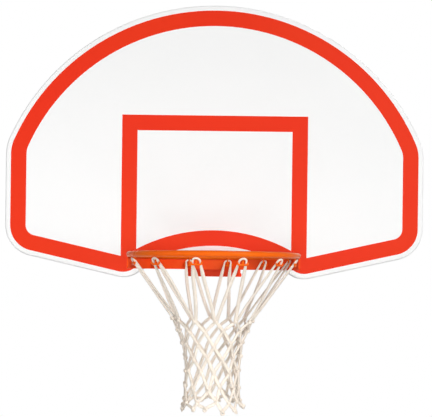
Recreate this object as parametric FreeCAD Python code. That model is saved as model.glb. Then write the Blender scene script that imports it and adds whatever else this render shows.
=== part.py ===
import FreeCAD, Part
import math
import os

from FreeCAD import Vector

# A fan-shaped basketball backboard with its goal and net, in millimetres.
# Working frame: X to the right seen from the front, Y backwards from the panel's front face,
# Z up from the lowest points of the board's two lower lobes.
# Every piece is moved to the mount frame when it is saved: the origin is then the middle of the
# four rear bolt holes, on the rear plane of the rails.

# Board outline
board_width = 1371.6
board_height = 895.4
shoulder_height = 427.6
shoulder_radius = 127.0
corner_radius = 101.6
lobe_radius = 76.2
lobe_spacing = 594.0
bottom_slope = 12.73
arch_radius = 463.9

# Pressed steel panel
panel_thickness = 2.66
flange_depth = 38.1
edge_bend_radius = 6.0

# Stripe films on the front face
film_thickness = 0.25
stripe_margin = 17.4
stripe_width = 50.8
target_width = 609.6
target_top_above_ring = 457.2

# Rear rails and their bolt holes
mount_spacing_x = 889.0
mount_spacing_z = 508.0
mount_height = 384.0
mount_hole_diameter = 14.3
rail_depth = 48.14
rail_thickness = 4.76
rail_flange_height = 50.8
rail_foot_height = 38.0
rail_bend_radius = 3.0
rail_end_gap = 12.0

# Stiffening ribs behind the panel
rib_width = 60.0
rib_depth = 25.0
rib_thickness = 3.0
rib_spacing = 600.0
side_rib_height = 400.0
rib_end_gap = 1.5

# Goal channel
channel_depth = 39.0
channel_thickness = 4.76
channel_bottom = 9.0
channel_bend_radius = 3.0
channel_washer_gap = 2.5
channel_notch_gap = 1.5

# Goal back plate and its fasteners
plate_side_overhang = 3.0
plate_bottom = 5.5
plate_arch_gap = 1.7
plate_thickness = 8.0
plate_lip_height = 12.0
plate_lip_overhang = 3.5
plate_lip_flat = 5.1
stud_spacing_x = 127.0
stud_spacing_z = 38.1
stud_diameter = 12.0
stud_hole_clearance = 1.0
stud_end_length = 5.0
washer_diameter = 24.0
washer_thickness = 2.5
nut_width = 18.0
nut_height = 10.8
nut_bore_clearance = 0.2

# Goal ring
ring_inside_diameter = 457.2
ring_rod_diameter = 15.9
ring_top = 76.2
ring_gap_to_board = 152.4

# Half-round brace band under the back of the ring
brace_height = 31.75
brace_thickness = 4.8
brace_corner_radius = 9.0
weld_gap = 0.3

# Bracket and arms between the back plate and the brace
bracket_width = 150.0
bracket_thickness = 5.0
bracket_top_below_ring = 20.0
bracket_height = 24.0
arm_thickness = 6.0
arm_height = 24.0
arm_edge_margin = 5.5
arm_angle = 40.0

# Net hooks under the ring, turned a little about its axis together with the net
hook_count = 12
hook_turn = 4.0
hook_stem_diameter = 4.0
hook_bar_diameter = 5.0
hook_ring_room = 5.5
hook_brace_room = 1.2
hook_horn_room = 2.0
hook_horn_radius = 5.0
hook_horn_height = 2.0

# Net cord and knots
cord_diameter = 6.0
cord_clearance = 0.3
loop_stem_room = 1.5
leg_spacing = 2.4
knot_per_cord = 2.5
tip_per_cord = 2.2
# Height below the ring's top and radius of each row of knots, from the first row to the end tips
knot_rows = [
    (189.0, 113.5),
    (216.5, 99.0),
    (255.0, 86.5),
    (292.5, 78.5),
    (330.0, 75.5),
    (373.5, 75.5),
    (412.5, 78.0),
    (433.0, 87.0),
]

# Tests for edges: cosine of a parallel direction, and the distance of one place in millimetres
parallel = 0.999
same_place = 0.001

# Derived sizes and places
half_width = board_width / 2
top_rise = board_height - shoulder_height
top_radius = (half_width**2 + top_rise**2) / (2 * top_rise)
ring_rod_radius = ring_rod_diameter / 2
ring_radius = ring_inside_diameter / 2 + ring_rod_radius
ring_height = ring_top - ring_rod_radius
ring_y = -(ring_gap_to_board + ring_inside_diameter / 2)
brace_top = ring_top - ring_rod_diameter
brace_outer_radius = ring_radius + ring_rod_radius
brace_inner_radius = brace_outer_radius - brace_thickness
panel_back = panel_thickness
rear_plane = panel_back + rail_depth
plate_front = panel_back - plate_thickness
channel_wall = channel_thickness + channel_bend_radius
channel_width = stud_spacing_x + washer_diameter + 2 * (channel_washer_gap + channel_wall)
plate_width = channel_width + 2 * plate_side_overhang
cord_radius = cord_diameter / 2
knot_diameter = cord_diameter * knot_per_cord
tip_diameter = cord_diameter * tip_per_cord
leg_side_step = cord_radius + leg_spacing / 2
stem_radius = hook_stem_diameter / 2
bar_radius = hook_bar_diameter / 2
loop_bend_radius = cord_radius + stem_radius + loop_stem_room
hook_radius = brace_inner_radius - hook_brace_room - cord_diameter - cord_clearance - stem_radius
hook_bar_height = ring_height - ring_rod_radius - hook_ring_room - 2 * cord_diameter - bar_radius
hook_bar_length = 2 * (loop_bend_radius + cord_radius + hook_bar_diameter + hook_horn_room)
upper_bolt_height = mount_height + mount_spacing_z / 2
lower_bolt_height = mount_height - mount_spacing_z / 2
target_top = ring_top + target_top_above_ring
ring_axis = Vector(0, ring_y, 0)

# Arc centres of the board outline, right half
top_centre = Vector(0, 0, board_height - top_radius)
shoulder_x = half_width - shoulder_radius
shoulder_rise = math.sqrt((top_radius - shoulder_radius) ** 2 - shoulder_x**2)
shoulder_centre = Vector(shoulder_x, 0, top_centre.z + shoulder_rise)
shoulder_angle = math.degrees(math.atan2(shoulder_rise, shoulder_x))
lobe_centre = Vector(lobe_spacing / 2, 0, lobe_radius)
slope_along = Vector(math.cos(math.radians(bottom_slope)), 0, math.sin(math.radians(bottom_slope)))
slope_inward = Vector(-slope_along.z, 0, slope_along.x)
slope_start = lobe_centre - slope_inward * lobe_radius
corner_x = half_width - corner_radius
corner_run = (corner_x - slope_start.x - corner_radius * slope_inward.x) / slope_along.x
corner_centre = slope_start + slope_along * corner_run + slope_inward * corner_radius
arch_drop = math.sqrt((arch_radius + lobe_radius) ** 2 - lobe_centre.x**2)
arch_centre = Vector(0, 0, lobe_centre.z - arch_drop)
arch_angle = math.degrees(math.atan2(arch_drop, lobe_centre.x))
plate_top = arch_centre.z + math.sqrt(arch_radius**2 - (plate_width / 2) ** 2) - plate_arch_gap


def on_circle(centre, radius, degrees):
    """The point of an upright circle at an angle from +X towards +Z."""
    angle = math.radians(degrees)
    return centre + Vector(radius * math.cos(angle), 0, radius * math.sin(angle))


def arc(centre, radius, start, end):
    """An arc edge of an upright circle between two angles."""
    middle = on_circle(centre, radius, (start + end) / 2)
    return Part.Arc(on_circle(centre, radius, start), middle, on_circle(centre, radius, end)).toShape()


def outline(inset):
    """The board's closed outline, drawn in by the inset, in the plane of the front face."""
    top = arc(top_centre, top_radius - inset, 90, shoulder_angle)
    shoulder = arc(shoulder_centre, shoulder_radius - inset, shoulder_angle, 0)
    corner = arc(corner_centre, corner_radius - inset, 0, bottom_slope - 90)
    lobe = arc(lobe_centre, lobe_radius - inset, bottom_slope - 90, arch_angle - 180)
    arch = arc(arch_centre, arch_radius + inset, arch_angle, 90)
    side_top = on_circle(shoulder_centre, shoulder_radius - inset, 0)
    side_bottom = on_circle(corner_centre, corner_radius - inset, 0)
    slope_top = on_circle(corner_centre, corner_radius - inset, bottom_slope - 90)
    slope_bottom = on_circle(lobe_centre, lobe_radius - inset, bottom_slope - 90)
    side = Part.LineSegment(side_top, side_bottom).toShape()
    slope = Part.LineSegment(slope_top, slope_bottom).toShape()
    right = [top, shoulder, side, corner, slope, lobe, arch]
    left = [edge.mirror(Vector(0, 0, 0), Vector(1, 0, 0)) for edge in right]
    return Part.Wire(Part.__sortEdges__(right + left))


def block(x_range, y_range, z_range):
    """A box between three pairs of limits."""
    size = [high - low for low, high in (x_range, y_range, z_range)]
    return Part.makeBox(*size, Vector(x_range[0], y_range[0], z_range[0]))


def rod(start, end, radius):
    """A round bar between two points."""
    along = end - start
    return Part.makeCylinder(radius, along.Length, start, along)


def mirrored(shape):
    """The same piece on the other side of the board's centre plane."""
    return shape.mirror(Vector(0, 0, 0), Vector(1, 0, 0))


def upright_section(points):
    """A flat face in the Y-Z plane from its corner points."""
    corners = [Vector(0, y, z) for y, z in points]
    return Part.Face(Part.makePolygon(corners + corners[:1]))


def level_section(points):
    """A flat face in the X-Y plane from its corner points."""
    corners = [Vector(x, y, 0) for x, y in points]
    return Part.Face(Part.makePolygon(corners + corners[:1]))


def rounded_bends(solid, places, along, radius):
    """Rounds the bends of a folded sheet: the long edges through the given places."""
    chosen = []
    for edge in solid.Edges:
        direction = edge.tangentAt(edge.FirstParameter)
        if abs(direction.dot(along)) < parallel:
            continue
        start = edge.Vertexes[0].Point
        flat = start - along * start.dot(along)
        if any((flat - place).Length < same_place for place in places):
            chosen.append(edge)
    return solid.makeFillet(radius, chosen)


def front_edges(solid, height):
    """The edges of a solid that lie wholly in one plane parallel to the front face."""
    return [edge for edge in solid.Edges if abs(edge.BoundBox.YMin - height) < same_place
            and abs(edge.BoundBox.YMax - height) < same_place]


def make_face_panel():
    """Pressed pan: white front sheet with a flange turned back all round, notched for the channel."""
    back = Vector(0, flange_depth, 0)
    outer = Part.Face(outline(0)).extrude(back)
    outer = outer.makeFillet(edge_bend_radius, front_edges(outer, 0))
    inner = Part.Face(outline(panel_thickness)).extrude(back)
    inner.translate(Vector(0, panel_thickness, 0))
    inner = inner.makeFillet(edge_bend_radius - panel_thickness, front_edges(inner, panel_thickness))
    notch_half = channel_width / 2 + channel_notch_gap
    arch_top = arch_centre.z + arch_radius
    notch = block((-notch_half, notch_half), (panel_back, flange_depth), (0, arch_top + edge_bend_radius))
    return outer.cut(inner).cut(notch)


def make_border_stripe():
    """Film stripe that follows the board's edge all the way round."""
    band = Part.Face(outline(stripe_margin)).cut(Part.Face(outline(stripe_margin + stripe_width)))
    return band.extrude(Vector(0, -film_thickness, 0))


def make_target_stripe():
    """Film stripe of the shooting target: two uprights and a top bar, standing on the border stripe."""
    outer_half = target_width / 2
    inner_half = outer_half - stripe_width
    frame = block((-outer_half, outer_half), (-film_thickness, 0), (0, target_top))
    window = block((-inner_half, inner_half), (-film_thickness, 0), (0, target_top - stripe_width))
    field = Part.Face(outline(stripe_margin + stripe_width)).extrude(Vector(0, -film_thickness, 0))
    return frame.cut(window).common(field)


def half_width_at(height, inset):
    """How far the board's outline, drawn in by the inset, is from the centre plane at one height."""
    inside = Part.Face(outline(inset))
    level = Part.LineSegment(Vector(0, 0, height), Vector(board_width, 0, height)).toShape()
    return inside.common(level).BoundBox.XMax


def shelf_underside(bolt_height):
    """The height of the underside of a rail's shelf."""
    return bolt_height + rail_flange_height / 2 - rail_thickness


def make_rail(bolt_height, start_x, end_x):
    """Folded Z rail: a foot on the panel, a shelf, and a rear flange with a bolt hole at each mount."""
    shelf_bottom = shelf_underside(bolt_height)
    shelf_top = shelf_bottom + rail_thickness
    flange_bottom = bolt_height - rail_flange_height / 2
    foot_top = shelf_bottom + rail_foot_height
    foot_back = panel_back + rail_thickness
    flange_front = rear_plane - rail_thickness
    corners = [
        (panel_back, shelf_bottom),
        (flange_front, shelf_bottom),
        (flange_front, flange_bottom),
        (rear_plane, flange_bottom),
        (rear_plane, shelf_top),
        (foot_back, shelf_top),
        (foot_back, foot_top),
        (panel_back, foot_top),
    ]
    bar = upright_section(corners).extrude(Vector(end_x - start_x, 0, 0))
    bends = [corners[index] for index in (0, 1, 4, 5)]
    bar = rounded_bends(bar, [Vector(0, y, z) for y, z in bends], Vector(1, 0, 0), rail_bend_radius)
    bar.translate(Vector(start_x, 0, 0))
    for side in (-1, 1):
        centre = Vector(side * mount_spacing_x / 2, 0, bolt_height)
        bar = bar.cut(Part.makeCylinder(mount_hole_diameter / 2, 2 * rear_plane, centre, Vector(0, 1, 0)))
    return bar


def channel_section(width, depth, thickness):
    """Folded U section on the panel's back, open to the rear."""
    half = width / 2
    inside = half - thickness
    back = panel_back + depth
    web_back = panel_back + thickness
    corners = [
        (-half, panel_back),
        (half, panel_back),
        (half, back),
        (inside, back),
        (inside, web_back),
        (-inside, web_back),
        (-inside, back),
        (-half, back),
    ]
    return corners


def make_upright_channel(width, depth, thickness, bottom, top):
    """A folded U channel that runs up the panel's back."""
    corners = channel_section(width, depth, thickness)
    bar = level_section(corners).extrude(Vector(0, 0, top - bottom))
    bends = [corners[index] for index in (0, 1, 4, 5)]
    bar = rounded_bends(bar, [Vector(x, y, 0) for x, y in bends], Vector(0, 0, 1), channel_bend_radius)
    bar.translate(Vector(0, 0, bottom))
    return bar


def stud_places():
    """The X and Z of the four goal studs."""
    middle = (plate_bottom + plate_top) / 2
    return [(x * stud_spacing_x / 2, middle + z * stud_spacing_z / 2) for x in (-1, 1) for z in (-1, 1)]


def make_goal_channel():
    """Backbone that carries the goal, from below the arch up to the upper rail's shelf."""
    bar = make_upright_channel(channel_width, channel_depth, channel_thickness,
                               channel_bottom, shelf_underside(upper_bolt_height))
    hole_radius = stud_diameter / 2 + stud_hole_clearance
    for x, z in stud_places():
        bar = bar.cut(Part.makeCylinder(hole_radius, rear_plane, Vector(x, 0, z), Vector(0, 1, 0)))
    return bar


def make_upright_rib():
    """Stiffening rib between the lower rail's foot and the upper rail's shelf, right side."""
    bottom = shelf_underside(lower_bolt_height) + rail_foot_height
    top = shelf_underside(upper_bolt_height)
    rib = make_upright_channel(rib_width, rib_depth, rib_thickness, bottom, top)
    rib.translate(Vector(rib_spacing / 2, 0, 0))
    return rib


def make_top_rib():
    """Stiffening rib from the upper rail's foot to the panel's top flange."""
    bottom = shelf_underside(upper_bolt_height) + rail_foot_height
    rise = math.sqrt((top_radius - edge_bend_radius) ** 2 - (rib_width / 2) ** 2)
    top = top_centre.z + rise - rib_end_gap
    return make_upright_channel(rib_width, rib_depth, rib_thickness, bottom, top)


def make_side_rib():
    """Stiffening rib from the upright rib out to the panel's side flange, right side."""
    start = rib_spacing / 2 + rib_width / 2
    edges = [side_rib_height + side * rib_width / 2 for side in (-1, 1)]
    end = min(half_width_at(height, edge_bend_radius) for height in edges) - rib_end_gap
    rib = make_upright_channel(rib_width, rib_depth, rib_thickness, 0, end - start)
    rib.rotate(Vector(0, 0, 0), Vector(0, 1, 0), 90)
    rib.translate(Vector(start, 0, side_rib_height))
    return rib


def make_back_plate():
    """Goal back plate with a rounded lip along its lower edge."""
    half = plate_width / 2
    lip_half = half + plate_lip_overhang
    plate = block((-half, half), (plate_front, panel_back), (plate_bottom, plate_top))
    lip_top = plate_bottom + plate_lip_height
    lip = block((-lip_half, lip_half), (plate_front, panel_back), (plate_bottom, lip_top))
    ends = [edge for edge in lip.Edges if abs(edge.tangentAt(edge.FirstParameter).y) > parallel]
    lip = lip.makeFillet((plate_lip_height - plate_lip_flat) / 2, ends)
    return plate.fuse(lip).removeSplitter()


def make_studs():
    """Four weld studs on the back of the back plate."""
    length = channel_thickness + washer_thickness + nut_height + stud_end_length
    back = Vector(0, 1, 0)
    return [Part.makeCylinder(stud_diameter / 2, length, Vector(x, panel_back, z), back)
            for x, z in stud_places()]


def make_washers():
    """Four washers behind the goal channel's web."""
    seat = panel_back + channel_thickness
    bore = stud_diameter / 2 + nut_bore_clearance
    rings = []
    for x, z in stud_places():
        place = Vector(x, seat, z)
        disc = Part.makeCylinder(washer_diameter / 2, washer_thickness, place, Vector(0, 1, 0))
        rings.append(disc.cut(Part.makeCylinder(bore, washer_thickness, place, Vector(0, 1, 0))))
    return rings


def make_nuts():
    """Four hexagon nuts with chamfered corners."""
    seat = panel_back + channel_thickness + washer_thickness
    bore = stud_diameter / 2 + nut_bore_clearance
    corner = nut_width / math.sqrt(3)
    flat = nut_width / 2
    cone_base = flat + nut_height * math.sqrt(3)
    nuts = []
    for x, z in stud_places():
        place = Vector(x, seat, z)
        points = [on_circle(place, corner, 60 * step) for step in range(6)]
        hexagon = Part.Face(Part.makePolygon(points + points[:1])).extrude(Vector(0, nut_height, 0))
        cone = Part.makeCone(cone_base, flat, nut_height, place, Vector(0, 1, 0))
        hexagon = hexagon.common(cone)
        nuts.append(hexagon.cut(Part.makeCylinder(bore, nut_height, place, Vector(0, 1, 0))))
    return nuts


def brace_cutter():
    """The space of the brace band and the ring, with a weld gap, that the arms and bracket stop at."""
    below = ring_axis - Vector(0, 0, ring_top)
    return Part.makeCylinder(brace_outer_radius + weld_gap, 2 * ring_top, below)


def make_ring_bracket():
    """Folded bracket, open downwards, from the back plate to the back of the brace."""
    half = bracket_width / 2
    inside = half - bracket_thickness
    top = ring_top - bracket_top_below_ring
    reach = (ring_y, plate_front)
    outer = block((-half, half), reach, (top - bracket_height, top))
    hollow = block((-inside, inside), reach, (top - bracket_height, top - bracket_thickness))
    return outer.cut(hollow).cut(brace_cutter())


def make_arm():
    """Flat arm from the back plate's edge out to the side of the brace, right side."""
    angle = math.radians(arm_angle)
    start = Vector(plate_width / 2 - arm_edge_margin, plate_front, 0)
    end = ring_axis + Vector(brace_outer_radius * math.sin(angle), brace_outer_radius * math.cos(angle), 0)
    along = (end - start).normalize()
    across = Vector(-along.y, along.x, 0) * (arm_thickness / 2)
    first = start - along * plate_thickness
    corners = [first - across, first + across, end + across, end - across]
    bottom = ring_top - bracket_top_below_ring - arm_height
    arm = level_section([(corner.x, corner.y) for corner in corners]).extrude(Vector(0, 0, arm_height))
    arm.translate(Vector(0, 0, bottom))
    behind = block((-board_width, board_width), (plate_front, board_width), (-board_width, board_width))
    return arm.cut(brace_cutter()).cut(behind)


def make_ring_brace():
    """Flat bar bent to a half circle on edge under the back of the ring, with rounded lower ends."""
    bottom = brace_top - brace_height
    edges = []
    ends = []
    for radius in (brace_outer_radius, brace_inner_radius):
        right = ring_axis + Vector(radius, 0, 0)
        left = ring_axis - Vector(radius, 0, 0)
        edges.append(Part.Arc(right, ring_axis + Vector(0, radius, 0), left).toShape())
        ends.append((right, left))
    for outer_end, inner_end in zip(*ends):
        edges.append(Part.LineSegment(outer_end, inner_end).toShape())
    band = Part.Face(Part.Wire(Part.__sortEdges__(edges))).extrude(Vector(0, 0, brace_height - weld_gap))
    band.translate(Vector(0, 0, bottom))
    corners = [edge for edge in band.Edges if abs(edge.tangentAt(edge.FirstParameter).x) > parallel
               and edge.BoundBox.ZMax < bottom + same_place and edge.BoundBox.YMax < ring_y + same_place]
    return band.makeFillet(brace_corner_radius, corners)


def make_ring():
    """Round rod bent to the goal's hoop."""
    return Part.makeTorus(ring_radius, ring_rod_radius, ring_axis + Vector(0, 0, ring_height))


def around_ring(shape, count, first_angle):
    """Copies of a piece made at the ring's +X side, turned about the ring's axis at even steps."""
    copies = []
    for step in range(count):
        copy = shape.copy()
        copy.translate(ring_axis)
        copy.rotate(ring_axis, Vector(0, 0, 1), first_angle + step * 360 / count)
        copies.append(copy)
    return copies


def make_hook():
    """Net hook: a stem under the ring with a cross bar whose ends turn up."""
    outer_offset = ring_radius - hook_radius - stem_radius
    stem_top = ring_height - math.sqrt(ring_rod_radius**2 - outer_offset**2) - weld_gap / 2
    half = hook_bar_length / 2 - bar_radius
    flat_half = half - hook_horn_radius
    low = hook_bar_height
    centre_z = low + hook_horn_radius
    slant = hook_horn_radius * math.sin(math.radians(45))
    edges = []
    flat_ends = []
    for side in (-1, 1):
        tip = Vector(hook_radius, side * half, centre_z + hook_horn_height)
        bend_end = Vector(hook_radius, side * half, centre_z)
        bend_middle = Vector(hook_radius, side * (flat_half + slant), centre_z - slant)
        bend_start = Vector(hook_radius, side * flat_half, low)
        edges.append(Part.LineSegment(tip, bend_end).toShape())
        edges.append(Part.Arc(bend_end, bend_middle, bend_start).toShape())
        flat_ends.append(bend_start)
    edges.append(Part.LineSegment(*flat_ends).toShape())
    path = Part.Wire(Part.__sortEdges__(edges))
    start = path.OrderedVertexes[0].Point
    profile = Part.Wire(Part.makeCircle(bar_radius, start, Vector(0, 0, 1)))
    bar = path.makePipeShell([profile], True, True)
    stem = rod(Vector(hook_radius, 0, low), Vector(hook_radius, 0, stem_top), stem_radius)
    return bar.fuse(stem).removeSplitter()


def row_height(row):
    """The height of one row of knots."""
    return ring_top - knot_rows[row][0]


def make_net_loop():
    """One loop of net cord over a hook's bar and behind its stem, with two legs to the first knots."""
    half_step = math.radians(180 / hook_count)
    first_radius = knot_rows[0][1]
    knot = Vector(first_radius * math.cos(half_step), first_radius * math.sin(half_step), row_height(0))
    bar = Vector(hook_radius, 0, hook_bar_height)
    seat = bar_radius + cord_radius + cord_clearance
    # The loop lies in one flat plane that passes over the bar, a seat away, and through the first knots.
    fall = Vector(knot.x - bar.x, 0, knot.z - bar.z)
    reach = math.sqrt(fall.Length**2 - seat**2)
    down = (fall * reach + Vector(-fall.z, 0, fall.x) * seat).normalize()
    lift = Vector(down.z, 0, -down.x)
    across = Vector(0, 1, 0)
    origin = bar + lift * seat
    past_stem = stem_radius + cord_radius + cord_clearance
    behind_stem = (seat * abs(lift.x) + past_stem) / abs(down.x)
    bend_centre = origin + down * (loop_bend_radius - behind_stem)
    end_across = knot.y - leg_side_step
    end_down = reach - knot_diameter / 2 - cord_clearance
    run = end_down + behind_stem - loop_bend_radius
    spread = math.atan2(end_across, run) - math.asin(loop_bend_radius / math.hypot(end_across, run))
    tips = []
    bend_sides = []
    for side in (-1, 1):
        tangent = across * (side * math.cos(spread)) - down * math.sin(spread)
        bend_sides.append(bend_centre + tangent * loop_bend_radius)
        tips.append(origin + across * (side * end_across) + down * end_down)
    bend_top = bend_centre - down * loop_bend_radius
    left_leg = Part.LineSegment(tips[0], bend_sides[0]).toShape()
    bend = Part.Arc(bend_sides[0], bend_top, bend_sides[1]).toShape()
    right_leg = Part.LineSegment(bend_sides[1], tips[1]).toShape()
    path = Part.Wire([left_leg, bend, right_leg])
    profile = Part.Wire(Part.makeCircle(cord_radius, tips[0], bend_sides[0] - tips[0]))
    return path.makePipeShell([profile], True, True)


def knot_place(row, step):
    """The middle of a knot: odd rows sit half a step round from even rows."""
    depth, radius = knot_rows[row]
    angle = math.radians(hook_turn + (step + (row % 2) / 2) * 360 / hook_count)
    return ring_axis + Vector(radius * math.cos(angle), radius * math.sin(angle), ring_top - depth)


def make_net_mesh():
    """Knotted tube below the first row of knots, with end knots at the bottom."""
    last = len(knot_rows) - 1
    pieces = []
    for row in range(len(knot_rows)):
        radius = (tip_diameter if row == last else knot_diameter) / 2
        for step in range(hook_count):
            here = knot_place(row, step)
            outward = Vector(here.x, here.y - ring_y, 0)
            pieces.append(Part.makeSphere(radius, here, outward))
            if row < last:
                other = step + 1 if row % 2 else step - 1
                pieces.append(rod(here, knot_place(row + 1, step), cord_radius))
                pieces.append(rod(here, knot_place(row + 1, other), cord_radius))
    return pieces[0].multiFuse(pieces[1:])


def save(name, solids):
    """Writes one piece, or a group of like pieces, in the mount frame."""
    group = Part.makeCompound(solids) if len(solids) > 1 else solids[0].copy()
    group.translate(Vector(0, -rear_plane, -mount_height))
    group.exportStep("parts/" + name + ".step")


os.makedirs("parts", exist_ok=True)

save("face_panel", [make_face_panel()])
save("border_stripe", [make_border_stripe()])
save("target_stripe", [make_target_stripe()])

upper_rail_top = shelf_underside(upper_bolt_height) + rail_foot_height
lower_rail_bottom = lower_bolt_height - rail_flange_height / 2
upper_reach = half_width_at(upper_rail_top, panel_thickness) - rail_end_gap
lower_reach = half_width_at(lower_rail_bottom, panel_thickness) - rail_end_gap
lower_right_rail = make_rail(lower_bolt_height, channel_width / 2, lower_reach)
save("upper_rail", [make_rail(upper_bolt_height, -upper_reach, upper_reach)])
save("lower_right_rail", [lower_right_rail])
save("lower_left_rail", [mirrored(lower_right_rail)])

right_rib = make_upright_rib()
right_side_rib = make_side_rib()
save("goal_channel", [make_goal_channel()])
save("right_rib", [right_rib])
save("left_rib", [mirrored(right_rib)])
save("right_side_rib", [right_side_rib])
save("left_side_rib", [mirrored(right_side_rib)])
save("top_rib", [make_top_rib()])

right_arm = make_arm()
save("back_plate", [make_back_plate()])
save("goal_studs", make_studs())
save("goal_washers", make_washers())
save("goal_nuts", make_nuts())
save("ring_bracket", [make_ring_bracket()])
save("right_arm", [right_arm])
save("left_arm", [mirrored(right_arm)])
save("ring_brace", [make_ring_brace()])
save("goal_ring", [make_ring()])

first_hook = hook_turn + 180 / hook_count
save("net_hooks", around_ring(make_hook(), hook_count, first_hook))
save("net_upper", around_ring(make_net_loop(), hook_count, first_hook))
save("net_lower", [make_net_mesh()])
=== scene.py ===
"""Looks of a fan-shaped basketball backboard with a fixed goal and a knotted cord net.

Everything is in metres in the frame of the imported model: X to the right seen from the front,
Y backwards, Z up, and the origin in the middle of the four rear bolt holes.
"""

import logging
import math
from dataclasses import dataclass, field
from enum import Enum
from typing import Any

import bpy
import numpy as np
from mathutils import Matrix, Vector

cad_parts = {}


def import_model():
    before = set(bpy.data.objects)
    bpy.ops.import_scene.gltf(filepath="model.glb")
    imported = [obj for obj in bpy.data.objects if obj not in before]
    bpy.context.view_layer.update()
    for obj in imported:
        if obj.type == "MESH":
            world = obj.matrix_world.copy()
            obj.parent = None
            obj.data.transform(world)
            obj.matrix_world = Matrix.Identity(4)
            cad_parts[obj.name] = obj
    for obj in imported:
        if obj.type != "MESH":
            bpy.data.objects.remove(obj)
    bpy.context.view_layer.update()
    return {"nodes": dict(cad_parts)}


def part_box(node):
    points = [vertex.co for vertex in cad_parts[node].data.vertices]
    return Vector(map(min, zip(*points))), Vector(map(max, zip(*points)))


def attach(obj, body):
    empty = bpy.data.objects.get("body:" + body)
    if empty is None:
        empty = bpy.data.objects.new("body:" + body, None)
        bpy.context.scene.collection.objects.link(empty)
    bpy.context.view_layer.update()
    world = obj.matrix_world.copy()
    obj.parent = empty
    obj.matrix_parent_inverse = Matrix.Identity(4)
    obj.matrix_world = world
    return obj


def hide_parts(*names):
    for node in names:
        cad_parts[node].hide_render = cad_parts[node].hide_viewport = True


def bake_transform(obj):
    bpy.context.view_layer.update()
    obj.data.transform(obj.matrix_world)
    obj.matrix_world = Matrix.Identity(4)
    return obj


LOG = logging.getLogger("backboard")
TURN = 2 * math.pi
ALONG_X = np.array((1.0, 0.0, 0.0))
ALONG_Y = np.array((0.0, 1.0, 0.0))
UP = np.array((0.0, 0.0, 1.0))
WHITE = (1.0, 1.0, 1.0, 1.0)
# Most values of a noise lie between these two
NOISE_RANGE = (0.3, 0.7)
Span = tuple[float, float]
Triple = tuple[float, float, float]
Colour = Triple
Way = Triple


class Slot(Enum):
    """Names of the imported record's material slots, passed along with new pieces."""

    FRAME = "frame_paint"
    GOAL = "goal_paint"
    ZINC = "zinc"
    CORD = "net_cord"


class Lay(Enum):
    """Which way a cord of the net winds round the tube on its way down."""

    RIGHT = 1
    LEFT = -1


class NodeSheet:
    """A node tree that is being drawn: adds nodes with their values and joins their sockets."""

    def __init__(self, tree: bpy.types.NodeTree) -> None:
        """Keeps the tree that the nodes go into."""
        self.tree = tree

    def add(self, kind: str, inputs: dict | None = None, **settings: Any) -> bpy.types.Node:
        """Adds one shader node.

        Args:
            kind: Blender's name of the node type, without its prefix.
            inputs: Values or sockets for the node's inputs, by name or number.
            settings: Properties of the node itself.

        Returns:
            The new node.
        """
        node = self.tree.nodes.new("ShaderNode" + kind)
        for name, value in settings.items():
            setattr(node, name, value)
        self.feed(node, inputs or {})
        return node

    def feed(self, node: bpy.types.Node, inputs: dict) -> None:
        """Sets or links the inputs of a node.

        Args:
            node: The node that receives them.
            inputs: Values or sockets by input name or number.
        """
        for key, value in inputs.items():
            if isinstance(value, bpy.types.NodeSocket):
                self.tree.links.new(value, node.inputs[key])
            else:
                node.inputs[key].default_value = value

    def group(self, tree: bpy.types.NodeTree, inputs: dict) -> bpy.types.Node:
        """Places a shared effect with its own values.

        Args:
            tree: The effect's node group.
            inputs: Values or sockets by input name.

        Returns:
            The group's node.
        """
        node = self.tree.nodes.new("ShaderNodeGroup")
        node.node_tree = tree
        self.feed(node, inputs)
        return node

    def math(self, operation: str, *values: Any) -> bpy.types.NodeSocket:
        """Adds an operation on one to three values and returns its result."""
        return self.add("Math", dict(enumerate(values)), operation=operation).outputs[0]

    def noise(self, place: Any, scale: Any, detail: float) -> bpy.types.NodeSocket:
        """Adds cloudy noise at a place and returns its value."""
        return self.add("TexNoise", {"Vector": place, "Scale": scale, "Detail": detail}).outputs[0]

    def spread(
        self, value: Any, low: float, high: float, start: Any = 0.0, end: Any = 1.0
    ) -> bpy.types.NodeSocket:
        """Carries a value from low and high to start and end, held there, and returns the result."""
        return self.add("MapRange", {0: value, 1: low, 2: high, 3: start, 4: end}).outputs[0]

    def blend(self, share: Any, first: Any, second: Any) -> bpy.types.NodeSocket:
        """Mixes two colours.

        Args:
            share: How much of the second colour shows.
            first: A colour or a socket.
            second: A colour or a socket.

        Returns:
            The mixed colour.
        """
        colours = [(*c, 1.0) if isinstance(c, tuple) else c for c in (first, second)]
        node = self.add("Mix", {0: share, 6: colours[0], 7: colours[1]}, data_type="RGBA")
        return node.outputs[2]


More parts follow.
